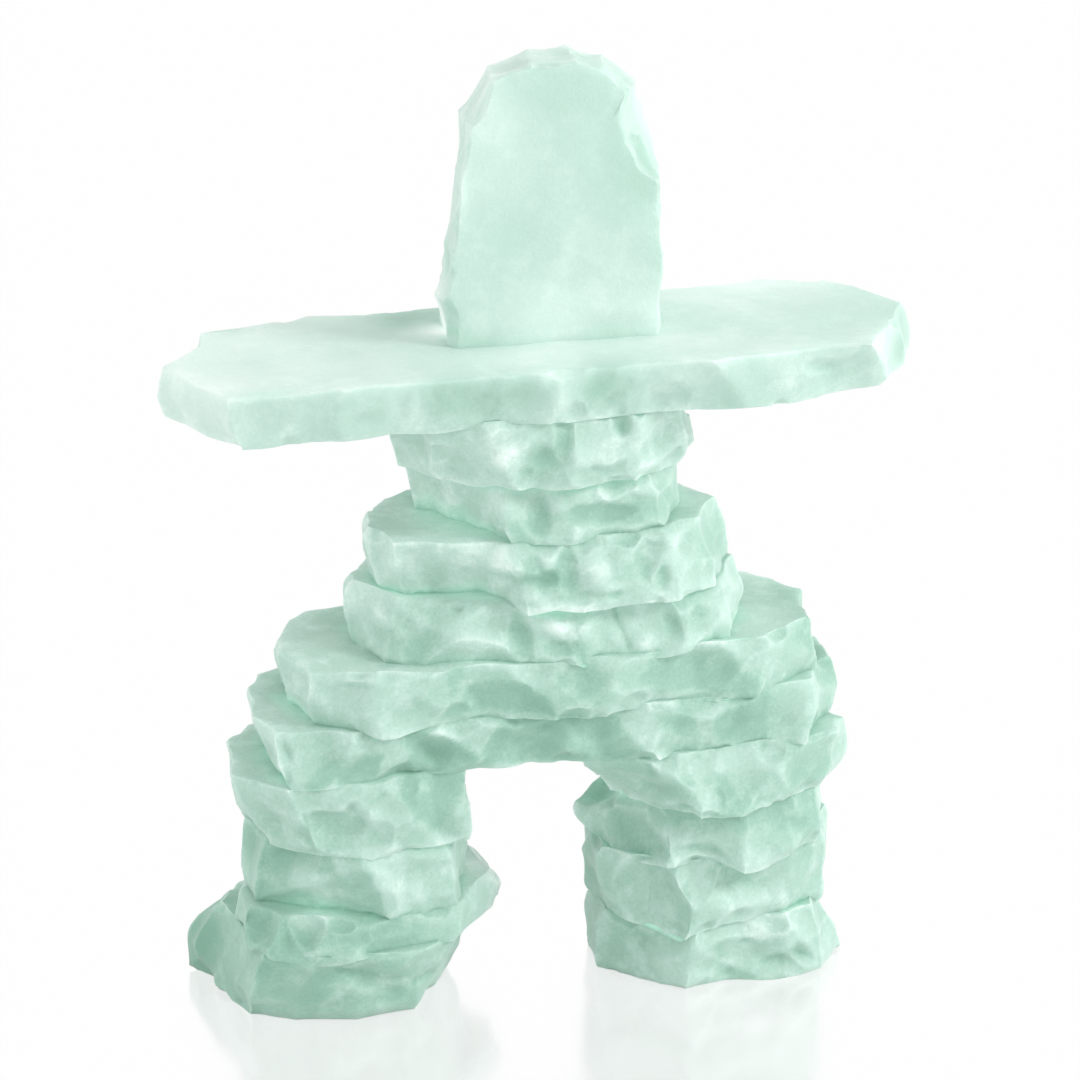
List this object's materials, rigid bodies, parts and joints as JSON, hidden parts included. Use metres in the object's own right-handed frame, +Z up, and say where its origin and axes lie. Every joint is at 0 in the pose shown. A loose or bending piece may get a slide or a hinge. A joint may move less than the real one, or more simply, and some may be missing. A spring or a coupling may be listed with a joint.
{
  "type": "inuit inukshuk sculpture",
  "caption": "Tabletop figure of stacked flat stones with outspread arms and an upright head stone, cast whole in pale mint satin glass.",
  "frame": {"origin": "on the ground, under the middle of the figure's bounding box", "axes": "+Z up, front towards -Y, the arms along X"},
  "size_m": [0.301, 0.1014, 0.38],
  "materials": {
    "satin_glass": "cast glass with a fine etched satin skin, pale mint, milky right through, so nothing behind it shows"
  },
  "bodies": {
    "root": {"inukshuk": "satin_glass"}
  },
  "joints": []
}
